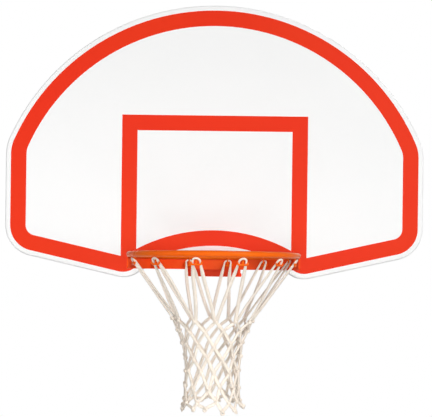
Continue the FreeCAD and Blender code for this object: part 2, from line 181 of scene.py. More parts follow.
class Effects:
    """Node groups that more than one finish uses, each built once."""

    PEEL_DETAIL = 2.0
    TONE_DETAIL = 4.0
    PATCH_DETAIL = 3.0
    PATCH_RANGE = (0.5, 0.75)
    SPECK_DETAIL = 6.0
    SPECK_RANGE = (0.45, 0.7)

    def __init__(self) -> None:
        """Builds every shared group."""
        self.paint_skin = self._paint_skin()
        self.handling_and_glints = self._handling_and_glints()

    @staticmethod
    def _start(name: str, inputs: dict[str, str], outputs: list[str]) -> tuple[NodeSheet, Any, Any]:
        """Starts a group.

        Args:
            name: The group's name.
            inputs: Socket type of each input by name.
            outputs: Names of the outputs, all plain values.

        Returns:
            The sheet to draw on, and the group's input and output nodes.
        """
        tree = bpy.data.node_groups.new(name, "ShaderNodeTree")
        for label, kind in inputs.items():
            tree.interface.new_socket(label, in_out="INPUT", socket_type="NodeSocket" + kind)
        for label in outputs:
            tree.interface.new_socket(label, in_out="OUTPUT", socket_type="NodeSocketFloat")
        source = tree.nodes.new("NodeGroupInput")
        return NodeSheet(tree), source, tree.nodes.new("NodeGroupOutput")

    def _paint_skin(self) -> bpy.types.NodeTree:
        """Sprayed paint: the height of its orange peel and a slow change of tone.

        Returns:
            The group, with the outputs Peel and Tone.
        """
        inputs = {"Vector": "Vector", "Peel Scale": "Float", "Tone Scale": "Float"}
        sheet, source, result = self._start("paint_skin", inputs, ["Peel", "Tone"])
        place = source.outputs["Vector"]
        peel = sheet.noise(place, source.outputs["Peel Scale"], self.PEEL_DETAIL)
        tone = sheet.noise(place, source.outputs["Tone Scale"], self.TONE_DETAIL)
        sheet.feed(result, {"Peel": peel, "Tone": sheet.spread(tone, *NOISE_RANGE)})
        return sheet.tree

    def _handling_and_glints(self) -> bpy.types.NodeTree:
        """Faint rubs and dust, which on the rod and brace are lighter flecks of painted glint: soft
        patches broken up by finer specks.

        Returns:
            The group, with the output Mask.
        """
        inputs = {"Vector": "Vector", "Patch Scale": "Float", "Speck Scale": "Float"}
        sheet, source, result = self._start("handling_and_glints", inputs, ["Mask"])
        place = source.outputs["Vector"]
        patch = sheet.noise(place, source.outputs["Patch Scale"], self.PATCH_DETAIL)
        speck = sheet.noise(place, source.outputs["Speck Scale"], self.SPECK_DETAIL)
        patch = sheet.spread(patch, *self.PATCH_RANGE)
        speck = sheet.spread(speck, *self.SPECK_RANGE)
        sheet.feed(result, {"Mask": sheet.math("MULTIPLY", patch, speck)})
        return sheet.tree

    def rubs(self, sheet: NodeSheet, place: Any, scales: Span) -> bpy.types.NodeSocket:
        """Places the group of rubs, dust and painted glint flecks with its patches and specks in a
        metre and returns its mask.
        """
        inputs = {"Vector": place, "Patch Scale": scales[0], "Speck Scale": scales[1]}
        return sheet.group(self.handling_and_glints, inputs).outputs["Mask"]


def open_material(name: str) -> tuple[NodeSheet, bpy.types.Material]:
    """Starts an empty node material.

    Args:
        name: The material's name.

    Returns:
        The sheet to draw its nodes on, and the material.
    """
    material = bpy.data.materials.new(name)
    material.use_nodes = True
    material.node_tree.nodes.clear()
    return NodeSheet(material.node_tree), material


def close_material(sheet: NodeSheet, shader: bpy.types.Node) -> None:
    """Joins the finished shader to the material's output."""
    sheet.add("OutputMaterial", {"Surface": shader.outputs[0]})


def add_object(name: str, data: Any) -> bpy.types.Object:
    """Links something new into the scene, at the origin.

    Args:
        name: The object's name.
        data: Its mesh, lamp or camera.

    Returns:
        The new object.
    """
    made = bpy.data.objects.new(name, data)
    bpy.context.scene.collection.objects.link(made)
    return made


@dataclass(frozen=True)
class PaintFinish:
    """A sprayed or baked paint, or a printed film, with orange peel, tone and faint rubs, which on the
    rod's and brace's powder coats are lighter flecks of painted glint.

    The colour goes from the base to the tone, and to the rub colour by its share; where that colour is
    lighter than the base, the flecks are painted glint. Scales are counts in a metre, those of the rubs
    and glints for patches and specks. The roughness is highest where tone and rubs add up to the full
    wear. The peel's depth is in metres.
    """

    name: str
    base: Colour
    tone: Colour
    rub: Colour = (0.45, 0.42, 0.38)
    rub_share: float = 0.08
    rub_scales: Span = (5.0, 60.0)
    roughness: Span = (0.3, 0.42)
    full_wear: float = 1.5
    specular: float = 0.4
    peel_scale: float = 420.0
    peel_depth: float = 0.00012
    tone_scale: float = 3.0

    def material(self, effects: Effects) -> bpy.types.Material:
        """Builds the paint's material.

        Args:
            effects: The shared effects.

        Returns:
            The material.
        """
        sheet, material = open_material(self.name)
        place = sheet.add("TexCoord").outputs["Object"]
        scales = {"Vector": place, "Peel Scale": self.peel_scale, "Tone Scale": self.tone_scale}
        skin = sheet.group(effects.paint_skin, scales)
        mask = effects.rubs(sheet, place, self.rub_scales)
        # Rubs, and where the rub colour is lighter than the base, flecks of painted glint.
        rub = sheet.math("MULTIPLY", mask, self.rub_share)
        colour = sheet.blend(skin.outputs["Tone"], self.base, self.tone)
        colour = sheet.blend(rub, colour, self.rub)
        wear = sheet.math("ADD", skin.outputs["Tone"], mask)
        bump = sheet.add("Bump", {"Distance": self.peel_depth, "Height": skin.outputs["Peel"]})
        shader = sheet.add("BsdfPrincipled", {
            "Base Color": colour,
            "Roughness": sheet.spread(wear, 0.0, self.full_wear, *self.roughness),
            "Specular IOR Level": self.specular,
            "Normal": bump.outputs[0],
        })
        close_material(sheet, shader)
        return material


@dataclass(frozen=True)
class ZincFinish:
    """Bright zinc plate on the fasteners: a fine crystal spangle with dull rubs.

    Scales are counts in a metre, those of the rubs for patches and specks. The roughness goes from
    bright to dull crystals, and the relief is their height in metres.
    """

    name: str
    base: Colour
    dull: Colour
    spangle_scale: float = 700.0
    rub_scales: Span = (40.0, 400.0)
    roughness: Span = (0.25, 0.45)
    relief: float = 0.00005

    def material(self, effects: Effects) -> bpy.types.Material:
        """Builds the zinc's material.

        Args:
            effects: The shared effects.

        Returns:
            The material.
        """
        sheet, material = open_material(self.name)
        place = sheet.add("TexCoord").outputs["Object"]
        spangle = sheet.add("TexVoronoi", {"Vector": place, "Scale": self.spangle_scale})
        crystal = sheet.add("SeparateColor", {0: spangle.outputs["Color"]}).outputs[0]
        dull = sheet.math("MAXIMUM", crystal, effects.rubs(sheet, place, self.rub_scales))
        bump = sheet.add("Bump", {"Distance": self.relief, "Height": crystal})
        shader = sheet.add("BsdfPrincipled", {
            "Base Color": sheet.blend(dull, self.base, self.dull),
            "Roughness": sheet.spread(dull, 0.0, 1.0, *self.roughness),
            "Metallic": 1.0,
            "Normal": bump.outputs[0],
        })
        close_material(sheet, shader)
        return material


@dataclass(frozen=True)
class CordFinish:
    """Braided net cord: strands of two lays that pass over and under, on the cord's own UV map.

    The map's U goes once round the cord and its V is the length along it in metres. The two lays
    cut the map into diamonds, and in every second diamond the other lay is on top.

    The colour goes from a painted shade in the low grooves to a painted highlight on the high crowns,
    over the shading range of heights, with stains in patches and specks. Strands are counted once round
    the cord and cross once in a pitch, and a strand keeps the share strand_ends of its height where it
    goes under. Fibres are counted round the cord and in a metre. The relief is the strands' height in
    metres.
    """

    name: str
    lit_crown: Colour
    groove: Colour
    stain: Colour
    strands: float = 8.0
    pitch: float = 0.0036
    strand_ends: float = 0.6
    fibres: Span = (24.0, 900.0)
    fibre_detail: float = 3.0
    fibre_share: float = 0.35
    shading_range: Span = (0.2, 0.9)
    mark_scales: Span = (14.0, 90.0)
    mark_share: float = 0.35
    relief: float = 0.0004
    roughness: Span = (0.7, 0.9)
    specular: float = 0.08

    def material(self, effects: Effects) -> bpy.types.Material:
        """Builds the cord's material on its UV map.

        Args:
            effects: The shared effects.

        Returns:
            The material.
        """
        sheet, material = open_material(self.name)
        coordinates = sheet.add("TexCoord")
        parts = sheet.add("SeparateXYZ", {0: coordinates.outputs["UV"]})
        turn = sheet.math("MULTIPLY", parts.outputs[0], self.strands)
        along = sheet.math("DIVIDE", parts.outputs[1], self.pitch)
        lays = sheet.math("ADD", turn, along), sheet.math("SUBTRACT", turn, along)
        cells = sheet.math("ADD", *(sheet.math("FLOOR", lay) for lay in lays))
        over = sheet.math("FLOORED_MODULO", cells, 2.0)
        halves = [sheet.math("MULTIPLY", sheet.math("FRACT", lay), math.pi) for lay in lays]
        first, second = (sheet.math("SINE", half) for half in halves)
        across = sheet.spread(over, 0.0, 1.0, first, second)
        endways = sheet.spread(over, 0.0, 1.0, second, first)
        weave = sheet.math("MULTIPLY", across, sheet.spread(endways, 0.0, 1.0, self.strand_ends))
        scales = {"Vector": coordinates.outputs["UV"], "Scale": (*self.fibres, 1.0)}
        fibre = sheet.noise(sheet.add("Mapping", scales).outputs[0], 1.0, self.fibre_detail)
        height = sheet.math("MULTIPLY_ADD", fibre, self.fibre_share, weave)
        mask = effects.rubs(sheet, coordinates.outputs["Object"], self.mark_scales)
        # Painted shade and highlight: the colour darkens towards the grooves and lightens on the crowns
        # by the braid's height.
        colour = sheet.blend(sheet.spread(height, *self.shading_range), self.groove, self.lit_crown)
        colour = sheet.blend(sheet.math("MULTIPLY", mask, self.mark_share), colour, self.stain)
        bump = sheet.add("Bump", {"Distance": self.relief, "Height": height})
        shader = sheet.add("BsdfPrincipled", {
            "Base Color": colour,
            "Roughness": sheet.spread(fibre, *NOISE_RANGE, *self.roughness),
            "Specular IOR Level": self.specular,
            "Normal": bump.outputs[0],
        })
        close_material(sheet, shader)
        return material


@dataclass
class Surface:
    """A mesh as whole arrays.

    Attributes:
        points: Every vertex.
        faces: Corner numbers of four-sided faces; a three-sided one repeats its last corner.
        maps: U and V of each face's corners.
    """

    points: np.ndarray
    faces: np.ndarray
    maps: np.ndarray

    @staticmethod
    def joined(parts: list["Surface"]) -> "Surface":
        """Puts several surfaces into one mesh.

        Args:
            parts: The surfaces, in their order in the mesh.

        Returns:
            One surface of them all.
        """
        starts = np.cumsum([0] + [len(part.points) for part in parts[:-1]])
        faces = [part.faces + start for part, start in zip(parts, starts)]
        points = np.concatenate([part.points for part in parts])
        return Surface(points, np.concatenate(faces), np.concatenate([part.maps for part in parts]))

    def place(self, name: str, material: bpy.types.Material, slot: Slot) -> bpy.types.Object:
        """Makes the object, smooth shaded and at the origin.

        Args:
            name: Name of the piece.
            material: Its finish.
            slot: The record's slot that the finish stands for; not used.

        Returns:
            The new object, which rides on nothing yet.
        """
        keep = np.ones(self.faces.shape, bool)
        keep[:, 3] = self.faces[:, 3] != self.faces[:, 2]
        counts = keep.sum(axis=1)
        mesh = bpy.data.meshes.new(name)
        mesh.vertices.add(len(self.points))
        mesh.vertices.foreach_set("co", self.points.astype(np.float32).ravel())
        mesh.loops.add(int(counts.sum()))
        mesh.loops.foreach_set("vertex_index", self.faces[keep].astype(np.int32))
        mesh.polygons.add(len(self.faces))
        mesh.polygons.foreach_set("loop_start", (np.cumsum(counts) - counts).astype(np.int32))
        mesh.polygons.foreach_set("use_smooth", np.ones(len(self.faces), bool))
        mesh.update(calc_edges=True)
        layer = mesh.uv_layers.new(name="UVMap")
        layer.data.foreach_set("uv", self.maps[keep].astype(np.float32).ravel())
        mesh.materials.append(material)
        piece = add_object(name, mesh)
        return piece


def unit(vectors: np.ndarray) -> np.ndarray:
    """Scales vectors along the last axis to a length of one."""
    return vectors / np.linalg.norm(vectors, axis=-1, keepdims=True)


def ease(share: np.ndarray) -> np.ndarray:
    """A smooth step from 0 to 1: three squares less two cubes of the share."""
    held = np.clip(share, 0.0, 1.0)
    return held * held * (3 - 2 * held)


def tube_grid(rings: np.ndarray, lengths: np.ndarray) -> Surface:
    """Skins rows of closed rings and closes both ends of each row with a fan.

    Args:
        rings: Points as tubes by rings by points round by three, turning left about the way along.
        lengths: Length along each tube at each ring.

    Returns:
        The closed surface, with U once round and V the length along.
    """
    tubes, rows, around, _ = rings.shape
    number = np.arange(tubes * rows * around).reshape(tubes, rows, around)
    after = np.roll(number, -1, axis=2)
    sides = np.stack([number[:, :-1], after[:, :-1], after[:, 1:], number[:, 1:]], axis=-1)
    share = np.arange(around + 1) / around
    corner_u = np.stack([share[:-1], share[1:], share[1:], share[:-1]], axis=-1)
    side_u = np.broadcast_to(corner_u, sides.shape)
    low = np.broadcast_to(lengths[:, :-1, None], sides.shape[:-1])
    high = np.broadcast_to(lengths[:, 1:, None], sides.shape[:-1])
    side_v = np.stack([low, low, high, high], axis=-1)
    first_middle = number.size + np.arange(tubes)[:, None]
    last_middle = first_middle + tubes
    starts = np.broadcast_to(first_middle, (tubes, around))
    ends = np.broadcast_to(last_middle, (tubes, around))
    start_fan = np.stack([starts, after[:, 0], number[:, 0], number[:, 0]], axis=-1)
    end_fan = np.stack([ends, number[:, -1], after[:, -1], after[:, -1]], axis=-1)
    fans = np.concatenate([start_fan.reshape(-1, 4), end_fan.reshape(-1, 4)])
    points = np.concatenate([
        rings.reshape(-1, 3),
        rings[:, 0].mean(axis=1),
        rings[:, -1].mean(axis=1),
    ])
    side_maps = np.stack([side_u, side_v], axis=-1).reshape(-1, 4, 2)
    faces = np.concatenate([sides.reshape(-1, 4), fans])
    maps = np.concatenate([side_maps, np.zeros((len(fans), 4, 2))])
    return Surface(points, faces, maps)


@dataclass(frozen=True)
class Section:
    """An oval section that is carried along paths.

    Attributes:
        half_width: Half of its size across the path.
        half_height: Half of its size along the path's own normal.
        around: Points round the section.
        strands: Raised strands of each lay round a braided cord, or 0 for a plain one.
        pitch: Length of one crossing of the strands, or of one ripple of a weld bead.
        relief: Height of strands or ripples as a share of the section's size.
    """

    half_width: float
    half_height: float
    around: int = 14
    strands: int = 0
    pitch: float = 0.008
    relief: float = 0.0

    def sweep(
        self,
        paths: np.ndarray,
        normals: np.ndarray,
        swell: np.ndarray | float = 1.0,
        widen: np.ndarray | float = 1.0,
    ) -> Surface:
        """Carries the section along paths.

        A point is path + normal * height * cos(turn) + side * width * sin(turn), where the side is
        square to the way along and the normal. The size is multiplied by the swell and by
        1 + relief * (wave - 1), where the wave is the higher of two crossing sines.

        Args:
            paths: Points of the paths, as paths by points by three.
            normals: Directions of the section's height, of the same shape.
            swell: Size of the section along each path, as a share.
            widen: Width alone along each path, as a share.

        Returns:
            The closed tubes as one surface.
        """
        steps = np.linalg.norm(np.diff(paths, axis=1), axis=-1)
        lengths = np.concatenate([np.zeros((len(paths), 1)), np.cumsum(steps, axis=1)], axis=1)
        along = unit(np.gradient(paths, axis=1))
        heights = unit(normals - along * np.sum(normals * along, axis=-1, keepdims=True))
        sides = np.cross(along, heights)
        turn = TURN * np.arange(self.around) / self.around
        phase = (TURN * lengths / self.pitch)[:, :, None]
        wave = np.maximum(np.sin(self.strands * turn + phase), np.sin(self.strands * turn - phase))
        size = (1 + self.relief * (wave - 1)) * np.broadcast_to(swell, lengths.shape)[:, :, None]
        out = (size * self.half_height * np.cos(turn))[..., None] * heights[:, :, None]
        size = size * np.broadcast_to(widen, lengths.shape)[:, :, None]
        across = (size * self.half_width * np.sin(turn))[..., None] * sides[:, :, None]
        return tube_grid(paths[:, :, None] + out + across, lengths)


def braid(half_width: float, half_height: float, around: int = 14) -> Section:
    """An oval section of braided cord with three raised strands of each lay."""
    return Section(half_width, half_height, around, strands=3, relief=0.05)


def on_ring(angles: np.ndarray) -> np.ndarray:
    """Level directions at angles from +X about the hoop's axis."""
    return np.stack([np.cos(angles), np.sin(angles), np.zeros_like(angles)], axis=-1)


def ring_middle() -> np.ndarray:
    """The middle of the hoop's ring, which is at X = 0."""
    low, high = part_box("goal_ring")
    return ALONG_Y * (low.y + high.y) / 2 + UP * (low.z + high.z) / 2


def lines(starts: np.ndarray, ends: np.ndarray, count: int) -> np.ndarray:
    """Evenly spaced points on straight lines, as lines by points by three."""
    share = np.linspace(0.0, 1.0, count)[None, :, None]
    return starts[:, None] * (1 - share) + ends[:, None] * share


def dress(nodes: dict[str, Any], material: bpy.types.Material, *names: str) -> None:
    """Gives CAD nodes a finish.

    Args:
        nodes: The CAD nodes by name.
        material: The finish.
        names: Names of the nodes that take it.
    """
    for name in names:
        mesh = nodes[name].data
        mesh.materials.clear()
        mesh.materials.append(material)
        LOG.info("dressed %s in %s", name, material.name)


@dataclass
class WeldBeads:
    """Rippled weld beads: a section carried along the joints, thinning to both ends.

    The ripple is the length of one ripple and the relief its height as a share of the radius. The
    thinning is the share of the section that is gone at the very ends, and the sharpness the power
    of the way from the middle that keeps it there.
    """

    radius: float = 0.0026
    ripple: float = 0.0022
    relief: float = 0.06
    around: int = 10
    points: int = 40
    thinning: float = 0.96
    sharpness: int = 8

    def along(self, paths: np.ndarray, normals: np.ndarray) -> Surface:
        """Lays beads on paths.

        Args:
            paths: Points of the joints, as beads by points by three.
            normals: Direction out of each joint, of the same shape.

        Returns:
            The beads as one surface.
        """
        share = np.linspace(-1.0, 1.0, paths.shape[1])
        taper = np.sqrt(1.0 - self.thinning * share**self.sharpness)
        section = Section(self.radius, self.radius, self.around, 0, self.ripple, self.relief)
        return section.sweep(paths, normals, taper)

    def straight(self, starts: list, ends: list, out: list) -> Surface:
        """Lays straight beads.

        Args:
            starts: First points.
            ends: Last points.
            out: Direction out of each joint.

        Returns:
            The beads as one surface.
        """
        paths = lines(np.array(starts, float), np.array(ends, float), self.points)
        normals = np.broadcast_to(np.array(out, float)[:, None], paths.shape)
        return self.along(paths, normals)


@dataclass(frozen=True)
class HookRing:
    """The even ring of hooks under the hoop, which the net hangs on.

    Attributes:
        count: Number of hooks.
        turn: Turn of the hooks and the net about the hoop's axis, in degrees.
        stem_radius: Radius of a hook's stem.
    """

    count: int = 12
    turn: float = 4.0
    stem_radius: float = 0.002

    def angles(self, offset: np.ndarray | float) -> np.ndarray:
        """Angles from +X about the hoop's axis, one hook's step apart, from an offset in steps."""
        return math.radians(self.turn) + TURN * (np.arange(self.count) + offset) / self.count


@dataclass
class Board:
    """The pressed panel with its film stripes."""

    enamel: PaintFinish = PaintFinish(
        "white_enamel", (0.955, 0.955, 0.95), (0.935, 0.94, 0.935),
        rub_share=0.03, roughness=(0.42, 0.55), specular=0.12)
    film: PaintFinish = PaintFinish(
        "orange_red_film", (0.85, 0.031, 0.0105), (0.85, 0.044, 0.009),
        rub=(0.6, 0.03, 0.008), rub_share=0.12, roughness=(0.4, 0.52), specular=0.1,
        peel_scale=700.0, peel_depth=0.00005, tone_scale=1.6)

    def dress(self, nodes: dict[str, Any], effects: Effects) -> None:
        """Gives the panel its enamel and the stripes their film."""
        dress(nodes, self.enamel.material(effects), "face_panel")
        dress(nodes, self.film.material(effects), "border_stripe", "target_stripe")


@dataclass
class RearFrame:
    """The rails, ribs and goal channel behind the panel, with their stitch welds.

    Attributes:
        paint: Finish of the whole frame.
        beads: The weld beads.
        seat: How far a bead's middle is behind the panel's back.
        stitch: Length of one stitch weld.
        stitch_step: Distance from one stitch to the next.
    """

    paint: PaintFinish = PaintFinish(
        "frame_enamel", (0.72, 0.73, 0.73), (0.67, 0.68, 0.685), rub=(0.4, 0.38, 0.35),
        rub_share=0.2, roughness=(0.36, 0.52), peel_depth=0.0002)
    beads: WeldBeads = field(default_factory=lambda: WeldBeads(ripple=0.0026))
    seat: float = 0.0008
    stitch: float = 0.045
    stitch_step: float = 0.14

    RAILS = ("upper_rail", "lower_left_rail", "lower_right_rail")
    UPRIGHTS = ("goal_channel", "left_rib", "right_rib", "top_rib")
    SIDE_RIBS = ("left_side_rib", "right_side_rib")

    def _stitches(self, start: float, end: float) -> np.ndarray:
        """Spaces the stitches evenly on a joint.

        Args:
            start: Where the joint starts.
            end: Where it ends.

        Returns:
            The stitches' middles.
        """
        room = end - start - self.stitch
        count = max(2, 1 + int(room / self.stitch_step))
        return np.linspace(start + self.stitch, end - self.stitch, count)

    def _run(self, level: bool, seam: Span, reach: Span, out: Way) -> Surface:
        """Lays the stitches of one straight joint.

        Args:
            level: Whether the joint runs along X; otherwise it runs along Z.
            seam: The joint's other two places: Y, and then Z or X.
            reach: Where the joint starts and ends.
            out: Direction out of the joint.

        Returns:
            The stitches as one surface.
        """
        middles = self._stitches(*reach)
        run, cross = (ALONG_X, UP) if level else (UP, ALONG_X)
        base = ALONG_Y * (seam[0] + self.seat) + cross * seam[1]
        starts = base + run * (middles[:, None] - self.stitch / 2)
        ends = base + run * (middles[:, None] + self.stitch / 2)
        return self.beads.straight(starts, ends, [out] * len(middles))

    def build(self, nodes: dict[str, Any], effects: Effects) -> None:
        """Dresses the frame and welds it to the panel.

        Args:
            nodes: The CAD nodes by name.
            effects: The shared effects.
        """
        paint = self.paint.material(effects)
        dress(nodes, paint, *self.RAILS, *self.UPRIGHTS, *self.SIDE_RIBS)
        runs = []
        for name in self.RAILS:
            low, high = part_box(name)
            runs.append(self._run(True, (low.y, high.z), (low.x, high.x), (0, 1, 1)))
        # The channel reaches further down, but its welds start above the lower rails
        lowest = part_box("lower_left_rail")[1].z
        for name in self.UPRIGHTS:
            low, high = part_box(name)
            reach = (max(low.z, lowest), high.z)
            runs.append(self._run(False, (low.y, low.x), reach, (-1, 1, 0)))
            runs.append(self._run(False, (low.y, high.x), reach, (1, 1, 0)))
        for name in self.SIDE_RIBS:
            low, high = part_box(name)
            runs.append(self._run(True, (low.y, low.z), (low.x, high.x), (0, 1, -1)))
            runs.append(self._run(True, (low.y, high.z), (low.x, high.x), (0, 1, 1)))
        piece = Surface.joined(runs).place("frame_welds", paint, Slot.FRAME)
        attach(piece, "board")
        LOG.info("welded the frame with %d joints", len(runs))


@dataclass
class Fasteners:
    """Studs with real threads, and the washers and nuts behind the goal channel.

    Attributes:
        zinc: Finish of every fastener.
        radius: Outer radius of the thread.
        depth: Depth of the thread.
        pitch: Rise of the thread in one turn.
        lead: Length of the tapered end.
        lead_depth: Depth of that taper in depths of the thread.
        around: Points round a stud.
        rows: Points along a stud.
    """

    zinc: ZincFinish = ZincFinish("zinc_plate", (0.66, 0.66, 0.64), (0.5, 0.5, 0.49))
    radius: float = 0.00595
    depth: float = 0.00085
    pitch: float = 0.00175
    lead: float = 0.0016
    lead_depth: float = 1.4
    around: int = 28
    rows: int = 130

    def _thread(self, low: float, high: float, middles: np.ndarray) -> Surface:
        """Threaded rods along Y.

        The radius at a height and a turn is radius - depth * the greater of groove and taper. The
        groove is a triangle wave of height / pitch + turn, and the taper grows over the free end.

        Args:
            low: Y of the fixed end.
            high: Y of the free end.
            middles: X and Z of each rod.

        Returns:
            The rods as one surface.
        """
        heights = np.linspace(low, high, self.rows)
        turn = TURN * np.arange(self.around) / self.around
        phase = heights[:, None] / self.pitch + turn / TURN
        groove = np.abs(2 * (phase - np.floor(phase)) - 1)
        taper = np.clip(1 - (high - heights) / self.lead, 0.0, 1.0)[:, None]
        size = self.radius - self.depth * np.maximum(groove, taper * self.lead_depth)
        x = middles[:, 0, None, None] + size * np.sin(turn)
        z = middles[:, 1, None, None] + size * np.cos(turn)
        y = np.broadcast_to(heights[:, None], x.shape)
        lengths = np.broadcast_to(heights - low, (len(middles), self.rows))
        return tube_grid(np.stack([x, y, z], axis=-1), lengths)

    def build(self, nodes: dict[str, Any], effects: Effects) -> None:
        """Dresses the washers and nuts and threads the studs.

        Args:
            nodes: The CAD nodes by name.
            effects: The shared effects.
        """
        zinc = self.zinc.material(effects)
        dress(nodes, zinc, "goal_studs", "goal_washers", "goal_nuts")
        low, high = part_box("goal_studs")
        inset = (high.z - low.z) / 2 - self.radius
        middle = (low.z + high.z) / 2
        reach = high.x - self.radius
        middles = np.array([(x * reach, middle + z * inset) for x in (-1, 1) for z in (-1, 1)])
        studs = self._thread(low.y, high.y, middles).place("threaded_studs", zinc, Slot.ZINC)
        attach(studs, "board")
        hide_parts("goal_studs")
        LOG.info("threaded %d studs", len(middles))


def powder_coat(name: str, base: Colour, tone: Colour, **values: Any) -> PaintFinish:
    """A paint with a powder coat's peel and rubs, by its name, two colours and other values; a rub
    colour lighter than the base makes flecks of painted glint.
    """
    return PaintFinish(name, base, tone, rub_share=0.3, peel_scale=520.0, peel_depth=0.00016, **values)


@dataclass(frozen=True)
class StemBeads:
    """Small round beads where the hooks' stems meet the rod.

    The inset is how far a stem is inside the rod's middle line, and the gap how far the bead's own
    line is from the stem. The bead falls towards the rod's middle line by its tilt.
    """

    section: Section = Section(0.0014, 0.0014, 8)
    inset: float = 0.0064
    gap: float = 0.0006
    tilt: float = 0.6
    points: int = 24

    def build(self, hooks: HookRing) -> Surface:
        """Lays a tilted circle of bead round every stem, on the rod's lower side.

        A point is stem + reach * (out * cos(turn) + side * sin(turn) - up * tilt * cos(turn)).

        Args:
            hooks: The hooks that the beads go round.

        Returns:
            The beads as one surface.
        """
        low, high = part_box("goal_ring")
        rod = (high.z - low.z) / 2
        drop = math.sqrt(rod**2 - self.inset**2)
        out = on_ring(hooks.angles(0.5))
        middle = ring_middle() + out * (high.x - rod - self.inset) - UP * drop
        turn = np.linspace(0.0, TURN, self.points)[None, :, None]
        circle = out[:, None] * np.cos(turn) + np.cross(UP, out)[:, None] * np.sin(turn)
        reach = hooks.stem_radius + self.gap
        paths = middle[:, None] + (circle - self.tilt * np.cos(turn) * UP) * reach
        return self.section.sweep(paths, np.broadcast_to(UP, paths.shape))


@dataclass
class Goal:
    """The hoop, its brace, bracket, arms, back plate and hooks, with their welds.

    Attributes:
        ring_coat: Powder coat of the rod and its hooks: a lighter orange tint of the same paint, which
            stands for painted light, with lighter rubs as flecks of painted glint.
        brace_coat: Powder coat of the brace, bracket and arms, a redder tint of the same paint, with
            lighter rubs as flecks of painted glint.
        plate_coat: Powder coat of the back plate, a redder tint of the same paint.
        beads: The weld beads.
        bead_seat: Height of the ring's bead over the brace, as a share of the bead's radius.
        bead_end: Angle from either end of the brace to the end of that bead, in degrees.
        bead_points: Points along that bead.
        hooks: The hooks under the ring.
        stem_beads: The hooks' own beads.
        arm_width: Width of an arm along X where it meets the plate.
    """

    # One powder coat in three tints: the rod's lighter orange stands for painted light.
    ring_coat: PaintFinish = powder_coat(
        # Lighter rub colour: flecks of painted glint.
        "ring_orange_painted_light", (0.86, 0.15, 0.006), (0.87, 0.115, 0.006), rub=(0.88, 0.26, 0.04),
        roughness=(0.22, 0.34), specular=0.05, tone_scale=9.0)
    brace_coat: PaintFinish = powder_coat(
        # Lighter rub colour: flecks of painted glint.
        "brace_orange_red", (0.84, 0.078, 0.008), (0.85, 0.055, 0.009), rub=(0.88, 0.2, 0.03),
        roughness=(0.3, 0.44), specular=0.06, tone_scale=7.0)
    plate_coat: PaintFinish = powder_coat(
        "plate_red", (0.91, 0.062, 0.014), (0.91, 0.05, 0.014), rub=(0.85, 0.08, 0.03),
        roughness=(0.32, 0.46), specular=0.06, tone_scale=7.0)
    beads: WeldBeads = field(default_factory=WeldBeads)
    bead_seat: float = 0.4
    bead_end: float = 1.5
    bead_points: int = 420
    hooks: HookRing = HookRing()
    stem_beads: StemBeads = StemBeads()
    arm_width: float = 0.0069

    def _ring_bead(self) -> Surface:
        """The bead between the brace's top edge and the rod, a half circle round the back.

        Returns:
            The bead as a surface.
        """
        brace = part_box("ring_brace")[1]
        gap = math.radians(self.bead_end)
        out = on_ring(np.linspace(gap, math.pi - gap, self.bead_points))
        lift = UP * (brace.z + self.bead_seat * self.beads.radius)
        path = out * (brace.x - self.beads.radius) + ALONG_Y * ring_middle() + lift
        return self.beads.along(path[None], out[None])

    def _plate_beads(self) -> Surface:
        """Straight beads where the bracket and the arms stand on the back plate.

        Returns:
            The beads as one surface.
        """
        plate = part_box("back_plate")[0].y
        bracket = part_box("ring_bracket")[1]
        arm_low, arm_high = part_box("right_arm")
        starts = [(-bracket.x, plate, bracket.z)]
        ends = [(bracket.x, plate, bracket.z)]
        outs = [(0, -1, 1)]
        for side in (-1, 1):
            for x, out in ((bracket.x, 1), (arm_low.x, -1), (arm_low.x + self.arm_width, 1)):
                starts.append((side * x, plate, arm_low.z))
                ends.append((side * x, plate, arm_high.z))
                outs.append((side * out, -1, 0))
        return self.beads.straight(starts, ends, outs)

    def build(self, nodes: dict[str, Any], effects: Effects) -> None:
        """Dresses the goal and lays its welds.

        Args:
            nodes: The CAD nodes by name.
            effects: The shared effects.
        """
        ring = self.ring_coat.material(effects)
        brace = self.brace_coat.material(effects)
        dress(nodes, ring, "goal_ring", "net_hooks")
        dress(nodes, brace, "ring_brace", "ring_bracket", "left_arm", "right_arm")
        dress(nodes, self.plate_coat.material(effects), "back_plate")
        ring_welds = Surface.joined([self._ring_bead(), self.stem_beads.build(self.hooks)])
        pieces = [
            ring_welds.place("ring_welds", ring, Slot.GOAL),
            self._plate_beads().place("bracket_welds", brace, Slot.GOAL),
        ]
        for piece in pieces:
            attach(piece, "board")
            LOG.info("laid %s", piece.name)


@dataclass(frozen=True)
class LoopShape:
    """The form of a loop of cord over its hook.

    On the hook the cord is as wide as the share hook_width of a leg, and it widens over the first
    share of the leg. A leg ends one knot_gap short of its knot, across, and bows by up to the two
    values in one and in two half waves.
    """

    section: Section = braid(0.0053, 0.0028)
    bar_radius: float = 0.0025
    bend_radius: float = 0.01
    room: float = 0.0003
    hook_width: float = 0.52
    widening: float = 0.2
    knot_gap: float = 0.0022
    bows: Span = (0.0035, 0.0018)
    bend_points: int = 26
    leg_points: int = 104


@dataclass(frozen=True)
class StrandShape:
    """The form of the crossing cords.

    At a crossing a cord lies one offset outside or inside, over a length that the sharpness of a
    cosine's power keeps short. It is smaller there by the first share and narrower by the second.
    """

    section: Section = braid(0.0047, 0.0026)
    offset: float = 0.0014
    sharpness: int = 8
    squeeze: Span = (0.18, 0.2)
    points: int = 28


